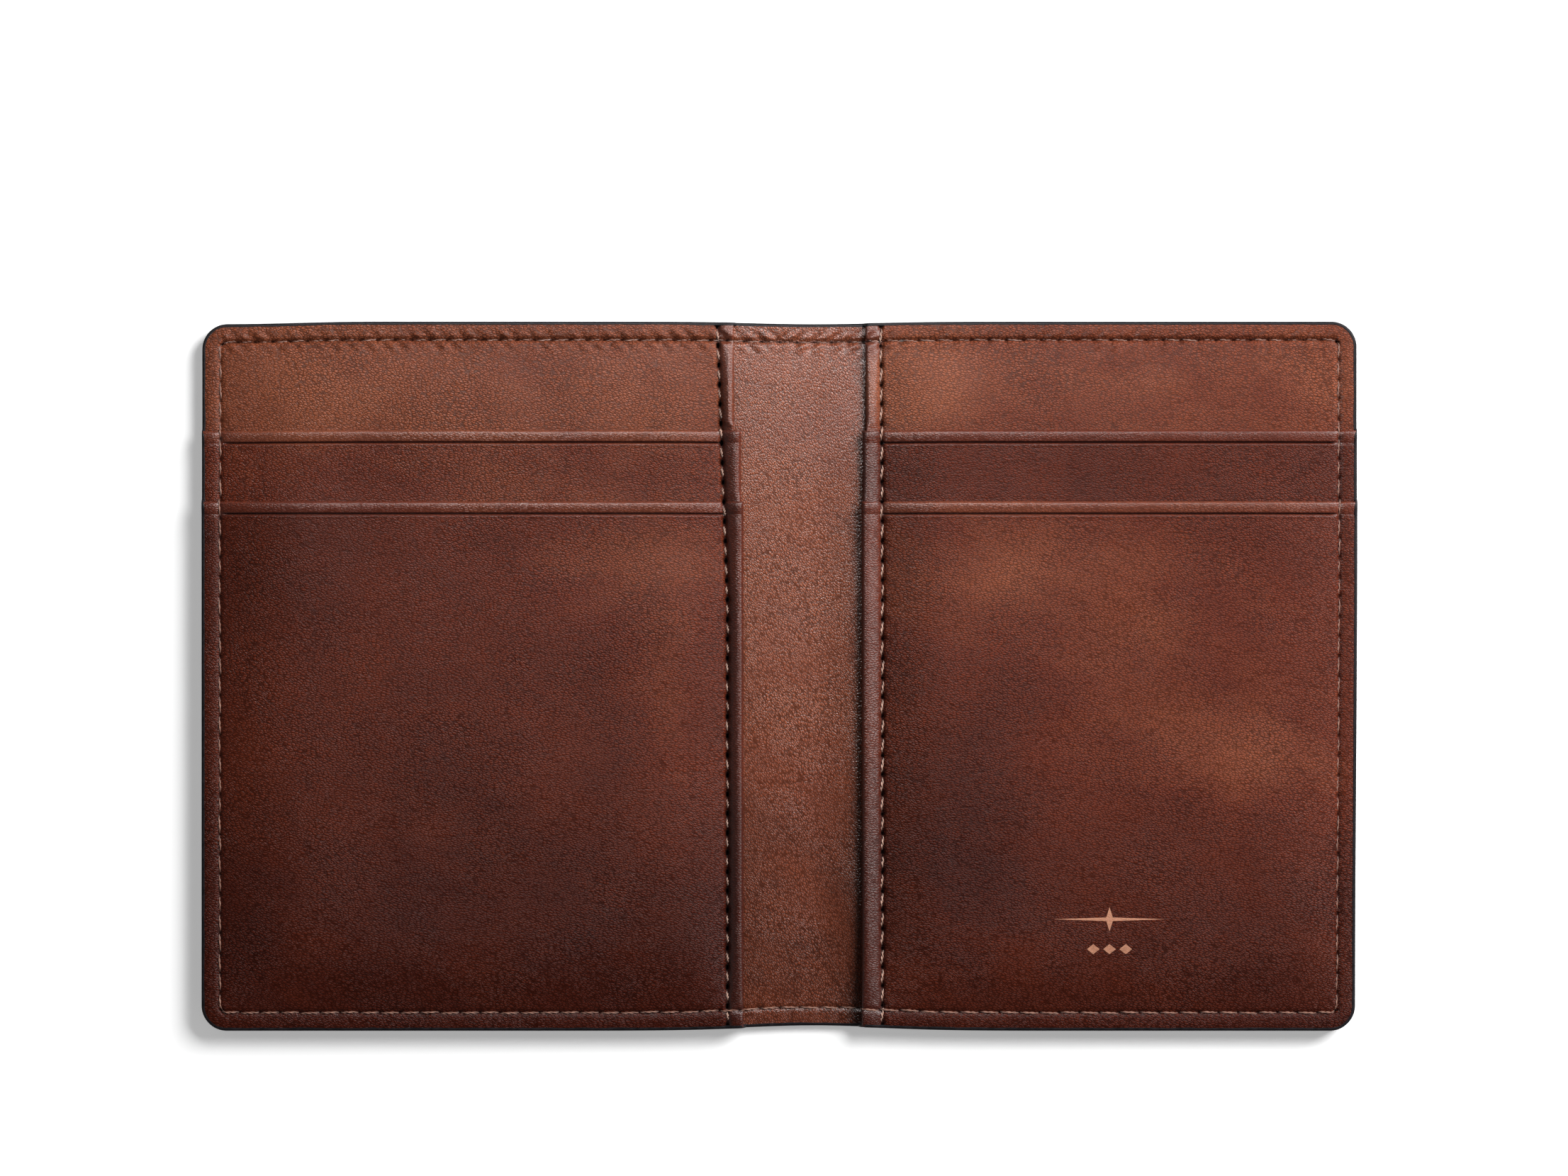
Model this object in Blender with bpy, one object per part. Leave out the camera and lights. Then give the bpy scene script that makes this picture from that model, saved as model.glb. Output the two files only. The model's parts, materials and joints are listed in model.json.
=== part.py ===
"""Bifold passport holder wallet, lying open on its outer cover.

X runs across the two open halves, Y up the page and Z up from the table. The origin is
on the underside, at the middle of the spine. The left half is fixed. The spine strip
turns on the left half and the right half turns on the spine strip, so the wallet closes
like a book.
"""

from math import cos, hypot, pi, sin

import bmesh
import bpy
from mathutils import Matrix, Vector

MM = 0.001

# The open wallet
WIDTH = 228.0 * MM
HEIGHT = 140.0 * MM
CORNER_RADIUS = 6.0 * MM
CORNER_SEGMENTS = 6
EDGE_PAINT = 0.4 * MM
FOLD_X = 4.5 * MM  # each fold line is this far from the middle of the spine

# Sheet thicknesses, and the clearance left between neighbours
COVER = 0.9 * MM
GUTTER_LINING = 0.5 * MM
STIFFENER = 0.3 * MM
FABRIC = 0.12 * MM
LEATHER = 0.4 * MM
CLEAR = 0.1 * MM
TURN_GAP = 0.05 * MM  # between a turned-under flap and its own sheet

# Inner edges of each half's layers, as distances from the middle of the spine
LEFT_EDGES = {"panel": 9.0 * MM, "upper": 7.6 * MM, "lower": 7.1 * MM}
RIGHT_EDGES = {"panel": 17.0 * MM, "upper": 16.4 * MM, "lower": 16.2 * MM}
GUTTER_OVERLAP = 13.0 * MM  # how far the gutter lining runs in under a panel
FABRIC_OVERLAP = 8.0 * MM  # how far the slip pocket fabric laps over the gutter lining

# Pocket mouths, as heights above the middle of the page
UPPER_MOUTH = 48.5 * MM
LOWER_MOUTH = 34.4 * MM
UPPER_BAND_BELOW = 14.0 * MM  # the upper pocket's leather ends this far under the lower one
DIVIDER_LAP = 4.0 * MM
DIVIDER_BOTTOM = -22.0 * MM
FLAP = 8.0 * MM  # turned-under leather behind a hem or a turned edge
TURN_STEPS = 4

# Seams
SEAM_INSET = 3.6 * MM
STITCH = 3.9 * MM
THREAD_WIDE = 0.46 * MM
THREAD_NARROW = 0.24 * MM
THREAD_HIGH = 0.32 * MM
THREAD_LIFT = 0.05 * MM
LEFT_INNER_SEAM = (12.3 * MM, 10.3 * MM)  # distance from the middle at the top and bottom
RIGHT_INNER_SEAM = (20.1 * MM, 20.1 * MM)
CLIMB_START = 1.0 * MM  # a thread starts to climb this far before a higher layer
CLIMB_END = 0.35 * MM

# Foil ornament on the lower right pocket
FOIL = 0.1 * MM
STAR_CENTRE = (65.0 * MM, -47.9 * MM)
STAR_REACH = (11.0 * MM, 2.4 * MM)
STAR_WAIST = (0.9 * MM, 0.5 * MM)
LOZENGE_CENTRE = (65.0 * MM, -53.8 * MM)
LOZENGE_PITCH = 3.2 * MM
LOZENGE_COUNT = 3
LOZENGE_HALF = (1.5 * MM, 1.0 * MM)
LOZENGE_NECK = 0.15 * MM

# Heights that follow from the stack, from the table up
LINING_Z = COVER + CLEAR
HINGE_Z = LINING_Z + GUTTER_LINING
FABRIC_Z = HINGE_Z + CLEAR
TURN_INNER = TURN_GAP / 2
TURN_OUTER = TURN_INNER + LEATHER
TURNED = 2 * TURN_OUTER  # full thickness of a turned edge
PANEL_Z = FABRIC_Z + FABRIC + CLEAR
UPPER_Z = PANEL_Z + TURNED + CLEAR
LOWER_Z = UPPER_Z + TURNED + CLEAR
DIVIDER_Z = LOWER_Z
TOP_Z = LOWER_Z + TURNED

LAYER_INSET = EDGE_PAINT + CLEAR
TOP = HEIGHT / 2 - LAYER_INSET
OUTER = WIDTH / 2 - LAYER_INSET

COLOURS = {
    "cover_leather": ((0.135, 0.045, 0.025), 0.45, 0.0),
    "gutter_leather": ((0.190, 0.070, 0.040), 0.55, 0.0),
    "pocket_leather": ((0.130, 0.040, 0.024), 0.42, 0.0),
    "board": ((0.300, 0.260, 0.210), 0.80, 0.0),
    "lining_fabric": ((0.060, 0.035, 0.025), 0.90, 0.0),
    "edge_paint": ((0.014, 0.011, 0.012), 0.35, 0.0),
    "thread": ((0.330, 0.170, 0.080), 0.60, 0.0),
    "foil": ((0.550, 0.270, 0.180), 0.30, 1.0),
}


def clear_scene():
    for thing in list(bpy.data.objects):
        bpy.data.objects.remove(thing)


def material(name):
    """The named material, made on first use."""
    if name in bpy.data.materials:
        return bpy.data.materials[name]
    colour, roughness, metallic = COLOURS[name]
    made = bpy.data.materials.new(name)
    made.use_nodes = True
    shader = made.node_tree.nodes["Principled BSDF"]
    shader.inputs["Base Color"].default_value = (*colour, 1.0)
    shader.inputs["Roughness"].default_value = roughness
    shader.inputs["Metallic"].default_value = metallic
    return made


def hinge(name, location, parent=None):
    """An empty on a fold line, which carries the pieces that turn there."""
    empty = bpy.data.objects.new(name, None)
    bpy.context.collection.objects.link(empty)
    empty.parent = parent
    empty.location = Vector(location) - (parent.location if parent else Vector())
    return empty


def finish(bm, name, slot, body):
    """Make an object of a bmesh drawn in the wallet's own frame, and hang it on a body."""
    bmesh.ops.recalc_face_normals(bm, faces=bm.faces)
    mesh = bpy.data.meshes.new(name)
    bm.to_mesh(mesh)
    bm.free()
    if body:
        bpy.context.view_layer.update()
        mesh.transform(Matrix.Translation(-body.matrix_world.translation))
    piece = bpy.data.objects.new(name, mesh)
    piece.data.materials.append(material(slot))
    piece.parent = body
    bpy.context.collection.objects.link(piece)
    return piece


def corner(centre, radius, start, end):
    """Points round a quarter turn, from angle start to angle end."""
    angles = [start + (end - start) * i / CORNER_SEGMENTS for i in range(CORNER_SEGMENTS + 1)]
    return [(centre[0] + radius * cos(a), centre[1] + radius * sin(a)) for a in angles]


def side_path(inner, inset):
    """One half's outline on the +X side: along the top, down the outer edge and back."""
    radius = CORNER_RADIUS - inset
    x = WIDTH / 2 - CORNER_RADIUS
    y = HEIGHT / 2 - CORNER_RADIUS
    upper = corner((x, y), radius, pi / 2, 0)
    lower = corner((x, -y), radius, 0, -pi / 2)
    return [(inner, HEIGHT / 2 - inset), *upper, *lower, (inner, inset - HEIGHT / 2)]


def half_outline(inner, side):
    """A closed outline from a half's inner limit out to its cut edge."""
    return [(side * x, y) for x, y in side_path(inner, LAYER_INSET)]


def pocket_outline(inner, top, side):
    """As half_outline, but with a straight top edge below the page's own."""
    lower_half = [(x, y) for x, y in side_path(inner, LAYER_INSET) if y < 0]
    return [(side * x, y) for x, y in [(inner, top), (OUTER, top), *lower_half]]


def rectangle(x0, x1, y0, y1):
    return [(x0, y0), (x1, y0), (x1, y1), (x0, y1)]


def prism(points, low, high):
    """A bmesh of an outline raised from one height to another."""
    bm = bmesh.new()
    face = bm.faces.new([bm.verts.new((x, y, low)) for x, y in points])
    raised = bmesh.ops.extrude_face_region(bm, geom=[face], use_keep_orig=True)
    verts = [v for v in raised["geom"] if isinstance(v, bmesh.types.BMVert)]
    bmesh.ops.translate(bm, verts=verts, vec=(0, 0, high - low))
    bmesh.ops.recalc_face_normals(bm, faces=bm.faces)
    return bm


def turn_under(bm, facing, axis, flap):
    """Roll the side that looks one way under the sheet, and run it back as a flap."""
    facing, axis = Vector(facing), Vector(axis)
    face = max(bm.faces, key=lambda f: (f.normal.dot(facing) > 0.99, f.calc_center_median().dot(facing)))
    low = min(v.co.z for v in face.verts)
    centre = face.calc_center_median()
    centre.z = low - TURN_INNER
    turn = Matrix.Rotation(pi / TURN_STEPS, 3, axis)
    for _ in range(TURN_STEPS):
        face = bmesh.ops.extrude_discrete_faces(bm, faces=[face])["faces"][0]
        bmesh.ops.rotate(bm, verts=face.verts, cent=centre, matrix=turn)
    face = bmesh.ops.extrude_discrete_faces(bm, faces=[face])["faces"][0]
    bmesh.ops.translate(bm, verts=face.verts, vec=-facing * flap)


def add_sheet(name, points, low, thickness, slot, body):
    return finish(prism(points, low, low + thickness), name, slot, body)


def add_panel(name, edge, side, body):
    """A half's base panel, whose inner edge is turned under."""
    sheet_z = PANEL_Z + LEATHER + TURN_GAP
    bm = prism(half_outline(edge + TURN_OUTER, side), sheet_z, sheet_z + LEATHER)
    turn_under(bm, (-side, 0, 0), (0, -side, 0), FLAP)
    return finish(bm, name, "pocket_leather", body)


def add_pocket(name, points, base, body):
    """A card pocket, whose mouth is a turned hem. Its outline stops short of the turn."""
    sheet_z = base + LEATHER + TURN_GAP
    bm = prism(points, sheet_z, sheet_z + LEATHER)
    turn_under(bm, (0, 1, 0), (-1, 0, 0), FLAP)
    return finish(bm, name, "pocket_leather", body)


def surface_height(x, y, edges):
    """Height of the topmost sheet of a half, given its layers' inner edges."""
    x = abs(x)
    if x < edges["panel"] and (y > LOWER_MOUTH or x < edges["lower"]):
        return HINGE_Z
    if y > UPPER_MOUTH:
        return PANEL_Z + TURNED
    if y > LOWER_MOUTH:
        return UPPER_Z + TURNED
    return TOP_Z


def along(path, distance):
    """The point, and the unit direction, at a distance along a polyline."""
    for (x0, y0), (x1, y1) in zip(path, path[1:]):
        length = hypot(x1 - x0, y1 - y0)
        if distance <= length or (x1, y1) == path[-1]:
            t = distance / length
            return (x0 + t * (x1 - x0), y0 + t * (y1 - y0)), ((x1 - x0) / length, (y1 - y0) / length)
        distance -= length
    raise ValueError("the path has no length")


def path_length(path):
    return sum(hypot(x1 - x0, y1 - y0) for (x0, y0), (x1, y1) in zip(path, path[1:]))


def climbs(path, edges, step=0.05 * MM):
    """Where along a path the surface goes up (+1) or down (-1) by a layer."""
    count = int(path_length(path) / step)
    heights = [surface_height(*along(path, i * step)[0], edges) for i in range(count)]
    return [(i * step, 1 if b > a else -1) for i, (a, b) in enumerate(zip(heights, heights[1:])) if a != b]


def stations(path, edges, pitch):
    """Distances along a path: its corners or one at every pitch, and two beside every step."""
    length = path_length(path)
    if pitch:
        count = round(length / pitch)
        found = [length * i / count for i in range(count + 1)]
    else:
        found = [path_length(path[: i + 1]) for i in range(len(path))]
    for place, way in climbs(path, edges):
        low, high = place - way * CLIMB_START, place - way * CLIMB_END
        found = [d for d in found if abs(d - (low + high) / 2) > CLIMB_START] + [low, high]
    return sorted(found)


def add_ribbon(name, path, edges, pitch, sections, slot, body):
    """A solid band along a path. sections(i, surface) gives its half width and two heights."""
    bm = bmesh.new()
    rings = []
    beside = CLIMB_END + CLEAR
    for i, distance in enumerate(stations(path, edges, pitch)):
        (x, y), (dx, dy) = along(path, distance)
        near = [along(path, max(0.0, d))[0] for d in (distance - beside, distance, distance + beside)]
        half, low, high = sections(i, max(surface_height(*point, edges) for point in near))
        left, right = (x - dy * half, y + dx * half), (x + dy * half, y - dx * half)
        corners = [(*left, low), (*right, low), (*right, high), (*left, high)]
        rings.append([bm.verts.new(c) for c in corners])
    for a, b in zip(rings, rings[1:]):
        for j in range(4):
            bm.faces.new([a[j], a[j - 1], b[j - 1], b[j]])
    bm.faces.new(rings[0])
    bm.faces.new(reversed(rings[-1]))
    return finish(bm, name, slot, body)


def thread_section(i, surface):
    """Narrow at each needle hole and wide between holes."""
    width = THREAD_NARROW if i % 2 == 0 else THREAD_WIDE
    return width / 2, surface + THREAD_LIFT, surface + THREAD_LIFT + THREAD_HIGH


def add_thread(name, path, edges, body):
    return add_ribbon(name, path, edges, STITCH / 2, thread_section, "thread", body)


def edge_section(_, surface):
    """A coat of paint from near the table up to the topmost sheet."""
    return EDGE_PAINT / 2, CLEAR / 2, surface - CLEAR / 2


def add_edge_paint(name, path, edges, body):
    return add_ribbon(name, path, edges, None, edge_section, "edge_paint", body)


def add_half(name, side, edges, inner_seam, body):
    """Every piece of one half. side is -1 for the left and 1 for the right."""
    fold = FOLD_X + CLEAR / 2
    lining_end = edges["panel"] + GUTTER_OVERLAP
    fabric_start = lining_end - FABRIC_OVERLAP
    board_start = lining_end + CLEAR

    def mirrored(points):
        return [(side * x, y) for x, y in points]

    add_sheet(f"cover_{name}", half_outline(fold, side), 0, COVER, "cover_leather", body)
    lining = mirrored(rectangle(fold, lining_end, -TOP, TOP))
    add_sheet(f"gutter_lining_{name}", lining, LINING_Z, GUTTER_LINING, "gutter_leather", body)
    add_sheet(f"stiffener_{name}", half_outline(board_start, side), LINING_Z, STIFFENER, "board", body)
    fabric = half_outline(fabric_start, side)
    add_sheet(f"slip_pocket_lining_{name}", fabric, FABRIC_Z, FABRIC, "lining_fabric", body)
    add_panel(f"panel_{name}", edges["panel"], side, body)

    band_low = LOWER_MOUTH - UPPER_BAND_BELOW
    band = mirrored(rectangle(edges["upper"], OUTER, band_low, UPPER_MOUTH - TURN_OUTER))
    add_pocket(f"upper_pocket_{name}", band, UPPER_Z, body)
    seam = inner_seam[0]
    divider = rectangle(seam, WIDTH / 2 - SEAM_INSET, DIVIDER_BOTTOM, band_low + DIVIDER_LAP)
    add_sheet(f"pocket_divider_{name}", mirrored(divider), DIVIDER_Z, FABRIC, "lining_fabric", body)
    pocket = pocket_outline(edges["lower"], LOWER_MOUTH - TURN_OUTER, side)
    add_pocket(f"lower_pocket_{name}", pocket, LOWER_Z, body)

    add_edge_paint(f"edge_paint_{name}", mirrored(side_path(fold, EDGE_PAINT / 2)), edges, body)
    seam_path = mirrored(side_path(FOLD_X + THREAD_WIDE, SEAM_INSET))
    add_thread(f"perimeter_thread_{name}", seam_path, edges, body)
    reach = HEIGHT / 2 - SEAM_INSET - 2 * THREAD_WIDE
    inner_path = mirrored([(inner_seam[0], reach), (inner_seam[1], -reach)])
    add_thread(f"inner_thread_{name}", inner_path, edges, body)


def add_spine(body):
    """The strip between the two fold lines."""
    half = FOLD_X - CLEAR / 2
    strip = rectangle(-half, half, -TOP, TOP)
    add_sheet("cover_spine", strip, 0, COVER, "cover_leather", body)
    add_sheet("gutter_lining_spine", strip, LINING_Z, GUTTER_LINING, "gutter_leather", body)
    for end, way in (("top", 1), ("bottom", -1)):
        y = way * (HEIGHT / 2 - EDGE_PAINT / 2)
        add_edge_paint(f"edge_paint_spine_{end}", [(-half, y), (half, y)], LEFT_EDGES, body)
        y = way * (HEIGHT / 2 - SEAM_INSET)
        half_thread = FOLD_X - THREAD_WIDE
        add_thread(f"spine_thread_{end}", [(-half_thread, y), (half_thread, y)], LEFT_EDGES, body)


def star_outline():
    """A four-pointed star with long level arms."""
    points = []
    for i in range(8):
        reach_x, reach_y = STAR_REACH if i % 2 == 0 else STAR_WAIST
        turn = i * pi / 4
        x, y = cos(turn) * reach_x, sin(turn) * reach_y
        points.append((STAR_CENTRE[0] + x, STAR_CENTRE[1] + y))
    return points


def lozenge_outline():
    """Lozenges in a row, joined by narrow necks."""
    upper = []
    for i in range(LOZENGE_COUNT):
        x = (i - (LOZENGE_COUNT - 1) / 2) * LOZENGE_PITCH
        half_x, half_y = LOZENGE_HALF
        upper += [(x - half_x, LOZENGE_NECK), (x, half_y), (x + half_x, LOZENGE_NECK)]
    lower = [(x, -y) for x, y in reversed(upper)]
    return [(LOZENGE_CENTRE[0] + x, LOZENGE_CENTRE[1] + y) for x, y in upper + lower]


def add_foil(body):
    low = TOP_Z + THREAD_LIFT
    add_sheet("foil_star", star_outline(), low, FOIL, "foil", body)
    add_sheet("foil_lozenges", lozenge_outline(), low, FOIL, "foil", body)


clear_scene()
left_fold = hinge("left_fold", (-FOLD_X, 0, HINGE_Z))
right_fold = hinge("right_fold", (FOLD_X, 0, HINGE_Z), left_fold)
add_half("left", -1, LEFT_EDGES, LEFT_INNER_SEAM, None)
add_spine(left_fold)
add_half("right", 1, RIGHT_EDGES, RIGHT_INNER_SEAM, right_fold)
add_foil(right_fold)
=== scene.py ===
"""Looks of the passport holder wallet: leather sheets, stitching, edge paint and foil.

The sheets are drawn in each half's flat pattern, in millimetres. U runs from the middle of
the spine out to the cut edge, Y runs up the page, and heights are above the table. place()
turns a point of the pattern into one of the wallet: it rounds the corners, pinches the
spine and mirrors the left half.
"""

import json
import math

import bpy
import numpy as np
from mathutils import Vector
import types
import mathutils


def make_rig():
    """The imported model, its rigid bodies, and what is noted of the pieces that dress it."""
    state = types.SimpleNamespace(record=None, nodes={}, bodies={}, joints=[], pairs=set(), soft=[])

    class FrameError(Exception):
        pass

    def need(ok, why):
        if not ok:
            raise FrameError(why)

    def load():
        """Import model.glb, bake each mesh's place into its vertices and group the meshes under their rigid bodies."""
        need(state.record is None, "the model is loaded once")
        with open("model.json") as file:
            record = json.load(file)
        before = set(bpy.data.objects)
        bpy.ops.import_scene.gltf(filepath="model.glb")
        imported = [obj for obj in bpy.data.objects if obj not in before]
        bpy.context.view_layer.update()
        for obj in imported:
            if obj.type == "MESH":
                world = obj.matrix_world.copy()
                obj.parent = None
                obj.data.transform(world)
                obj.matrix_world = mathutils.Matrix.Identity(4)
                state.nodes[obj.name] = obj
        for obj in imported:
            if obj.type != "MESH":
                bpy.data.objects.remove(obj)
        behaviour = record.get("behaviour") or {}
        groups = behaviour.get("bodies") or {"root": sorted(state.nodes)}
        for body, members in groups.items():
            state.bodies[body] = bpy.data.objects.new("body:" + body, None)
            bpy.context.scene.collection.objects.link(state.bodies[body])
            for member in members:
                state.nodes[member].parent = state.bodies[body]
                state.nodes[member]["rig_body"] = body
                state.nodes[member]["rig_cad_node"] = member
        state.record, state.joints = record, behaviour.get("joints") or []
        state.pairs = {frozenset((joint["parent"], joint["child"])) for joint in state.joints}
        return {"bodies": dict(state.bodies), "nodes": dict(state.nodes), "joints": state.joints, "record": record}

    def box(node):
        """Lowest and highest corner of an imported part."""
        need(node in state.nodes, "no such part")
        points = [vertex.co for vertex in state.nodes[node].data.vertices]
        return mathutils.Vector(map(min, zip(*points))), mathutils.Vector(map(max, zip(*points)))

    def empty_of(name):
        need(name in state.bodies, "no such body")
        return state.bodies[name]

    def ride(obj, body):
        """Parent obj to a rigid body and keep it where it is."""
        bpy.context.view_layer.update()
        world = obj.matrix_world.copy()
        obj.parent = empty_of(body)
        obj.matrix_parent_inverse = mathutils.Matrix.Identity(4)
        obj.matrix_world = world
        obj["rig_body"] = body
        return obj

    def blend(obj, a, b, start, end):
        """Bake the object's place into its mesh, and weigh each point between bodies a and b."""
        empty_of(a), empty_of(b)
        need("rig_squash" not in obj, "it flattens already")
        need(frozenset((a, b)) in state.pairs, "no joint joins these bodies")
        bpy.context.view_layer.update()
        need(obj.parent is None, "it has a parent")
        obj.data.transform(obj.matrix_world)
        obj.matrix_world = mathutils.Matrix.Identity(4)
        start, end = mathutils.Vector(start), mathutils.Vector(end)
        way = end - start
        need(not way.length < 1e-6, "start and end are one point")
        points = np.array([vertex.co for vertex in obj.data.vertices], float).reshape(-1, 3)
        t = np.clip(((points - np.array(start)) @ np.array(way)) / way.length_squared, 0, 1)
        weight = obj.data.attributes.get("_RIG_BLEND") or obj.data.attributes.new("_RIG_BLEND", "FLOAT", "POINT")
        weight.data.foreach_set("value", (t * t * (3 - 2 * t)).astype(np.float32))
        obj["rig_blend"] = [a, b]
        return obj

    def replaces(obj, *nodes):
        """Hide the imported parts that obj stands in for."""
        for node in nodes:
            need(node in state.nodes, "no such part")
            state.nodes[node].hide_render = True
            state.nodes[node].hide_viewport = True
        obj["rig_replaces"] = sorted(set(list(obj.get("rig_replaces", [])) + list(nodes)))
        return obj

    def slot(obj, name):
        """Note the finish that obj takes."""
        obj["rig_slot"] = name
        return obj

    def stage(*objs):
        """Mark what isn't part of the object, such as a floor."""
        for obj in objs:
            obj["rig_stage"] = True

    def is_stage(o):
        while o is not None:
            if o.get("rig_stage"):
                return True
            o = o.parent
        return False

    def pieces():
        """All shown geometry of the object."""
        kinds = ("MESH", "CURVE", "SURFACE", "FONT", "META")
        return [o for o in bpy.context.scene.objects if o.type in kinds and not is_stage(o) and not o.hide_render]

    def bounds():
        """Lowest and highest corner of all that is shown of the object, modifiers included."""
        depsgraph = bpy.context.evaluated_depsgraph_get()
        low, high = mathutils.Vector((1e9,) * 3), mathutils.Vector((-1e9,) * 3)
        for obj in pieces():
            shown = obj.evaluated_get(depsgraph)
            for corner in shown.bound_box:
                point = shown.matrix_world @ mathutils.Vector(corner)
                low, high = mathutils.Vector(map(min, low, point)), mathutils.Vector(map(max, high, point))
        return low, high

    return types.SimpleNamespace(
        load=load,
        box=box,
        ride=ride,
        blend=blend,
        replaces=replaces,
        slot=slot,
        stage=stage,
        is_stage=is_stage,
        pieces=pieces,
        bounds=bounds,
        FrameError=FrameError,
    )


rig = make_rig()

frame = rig.load()
cad_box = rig.bounds()

MM = 0.001
SIDES = ("left", "right")
WAY = {"left": -1, "right": 1}


def low(node):
    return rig.box(node)[0] / MM


def high(node):
    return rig.box(node)[1] / MM


# ---------------------------------------------------------------- sizes, from the frame
HALF_W = high("edge_paint_right").x
HALF_H = high("edge_paint_right").y
FOLD_U, _, FOLD_Z = (c / MM for j in frame["joints"] if j["name"] == "right_fold" for c in j["pos_m"])
LINING_TOP = high("gutter_lining_left").z
COVER_TOP = high("cover_left").z
LAYERS = ("panel", "upper_pocket", "lower_pocket")
LAYER_TOP = [high(f"{layer}_left").z for layer in LAYERS]
MOUTH = [None, high("upper_pocket_left").y, high("lower_pocket_left").y]
INNER = {
    "left": [-high(f"{layer}_left").x for layer in LAYERS],
    "right": [low(f"{layer}_right").x for layer in LAYERS],
}
LINING_END = {"left": -low("gutter_lining_left").x, "right": high("gutter_lining_right").x}
TURNED = LAYER_TOP[0] - low("panel_left").z  # a turned edge, folded double
STAR = (low("foil_star"), high("foil_star"))
LOZENGES = (low("foil_lozenges"), high("foil_lozenges"))

# ---------------------------------------------------------------- sizes of the fine shape
CORNER = 5.0  # radius of the outline's corners
SHEET = 0.4  # thickness of a sheet where it is single
GRID = 0.34  # spacing of the mesh over the pocket leather
CUT = 0.25  # the sheets end this far inside the paint's outer face
PAINT_LAP = 0.6  # how far the edge paint laps onto either face
SEAM_IN = 3.6  # the perimeter seam, from the cut edge
STITCH_LONG = 3.9
STITCH_TOP = 3.5
THREAD_R = 0.19
INNER_GAP = {"left": 1.7, "right": 0.7}  # between the stitches of an inner seam
PRESSED = (0.52, 0.8, 1.06)  # how far the perimeter seam presses each layer down
PINCHED = (0.6, 1.0, 1.4)  # and the inner seam
BULGE = (0.3, 0.45, 0.65)  # how far each layer stands above its flat height, between seams
PILLOW = 17.0  # a layer rises from its perimeter seams over this distance
PILLOW_IN = 13.0  # and from its inner seam over this one
RIDGE = 1.2  # the turned inner edges roll up beside their seam
RIDGE_IN = 1.0  # the top of the roll, from the free edge
TURN_DEEP = 8.0  # how much leather is turned under at a free edge
ROLL = 0.55  # rounding of a turned edge
RIM_ROUND = 0.14  # how far the faces round off towards the cut edge
RIM_SWELL = 0.1  # and how far they swell between it and the seam
UNEVEN = 0.13  # slow ups and downs of the pocket leather
SAG = 0.2  # a pocket lies lower below its hem
HEM_SWELL = 0.27
CREASE_DOWN = 2.45  # the crease below a hem, from the mouth
CREASE_DEEP = 0.4
CREASE_WALLS = (0.15, 0.22)  # its half widths, towards the hem and away from it
LIP_DOWN, LIP_HIGH, LIP_WIDE = 0.5, 0.07, 0.22  # the lip beyond it
GUTTER_LOW_X = 4.0  # the bottom of the gutter's valley
GUTTER_LIFT = 0.62  # how far the gutter rises to meet the right stack
BAND = 2.4  # half width of the strip of leather that bends at a fold
PINCH_X = 7.0  # where the spine draws the outline in
PINCH_TOP, PINCH_TOP_WIDE = 0.45, 17.0
PINCH_BOTTOM, PINCH_BOTTOM_WIDE = 0.9, 19.0
LEFT_DROOP = 0.5  # the upper left corner is cut lower
RIGHT_TAPER = 0.45  # and the right half narrows downwards
# u of each inner seam at the wallet's top edge and from its bend down, and the bend's y
INNER_SEAM = {"left": ((12.3, 10.3), 15.0), "right": ((20.0, 20.3), 15.0)}


def smooth(t):
    t = np.clip(t, 0.0, 1.0)
    return t * t * (3 - 2 * t)


def bell(t):
    return np.exp(-t * t)


def waves(u, y, seed, longest, shortest):
    """A soft random surface between about -1 and 1, as a sum of sines."""
    count = 14
    rng = np.random.default_rng(seed)
    total = np.zeros(np.broadcast(u, y).shape)
    for _ in range(count):
        length = rng.uniform(shortest, longest)
        turn, phase = rng.uniform(0, math.tau, 2)
        k = math.tau / length
        total += np.sin(k * (u * math.cos(turn) + y * math.sin(turn)) + phase)
    return total / math.sqrt(count * 2)


# ---------------------------------------------------------------- flat pattern to wallet
def round_corner(u, y):
    """Bends the square rings of the pattern round the corner radius."""
    a, b = HALF_W - u, HALF_H - np.abs(y)
    ring = np.minimum(a, b)
    radius = np.maximum(CORNER - ring, 1e-6)
    reach = 2 * radius
    along = a - b
    near = (np.abs(along) < reach) & (ring < CORNER)
    length = 2 * (reach - radius) + math.pi * radius / 2
    s = along / reach * length / 2
    quarter = math.pi * radius / 4
    straight = np.abs(s) > quarter
    run = ring + radius + np.abs(s) - quarter
    angle = math.pi / 4 + np.clip(s, -quarter, quarter) / radius
    arc_a = ring + radius * (1 - np.cos(angle))
    arc_b = ring + radius * (1 - np.sin(angle))
    new_a = np.where(straight, np.where(s > 0, run, ring), arc_a)
    new_b = np.where(straight, np.where(s > 0, ring, run), arc_b)
    a, b = np.where(near, new_a, a), np.where(near, new_b, b)
    return HALF_W - a, np.sign(y) * (HALF_H - b)


def place(u, y, way):
    """World x and y of a point of a half's pattern, in millimetres."""
    u, y = round_corner(np.asarray(u, float), np.asarray(y, float))
    x = way * u
    edge = smooth((np.abs(y) - 35) / 33)
    drawn_down = PINCH_TOP * bell((x - PINCH_X) / PINCH_TOP_WIDE)
    drawn_up = -PINCH_BOTTOM * bell((x - PINCH_X) / PINCH_BOTTOM_WIDE)
    y = y - np.where(y > 0, drawn_down, drawn_up) * edge
    y = y - LEFT_DROOP * edge * (y > 0) * smooth((-x - 80) / 30)
    x = x - RIGHT_TAPER * smooth((x - 70) / 44) * smooth((30 - y) / 100)
    return x, y


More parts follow.
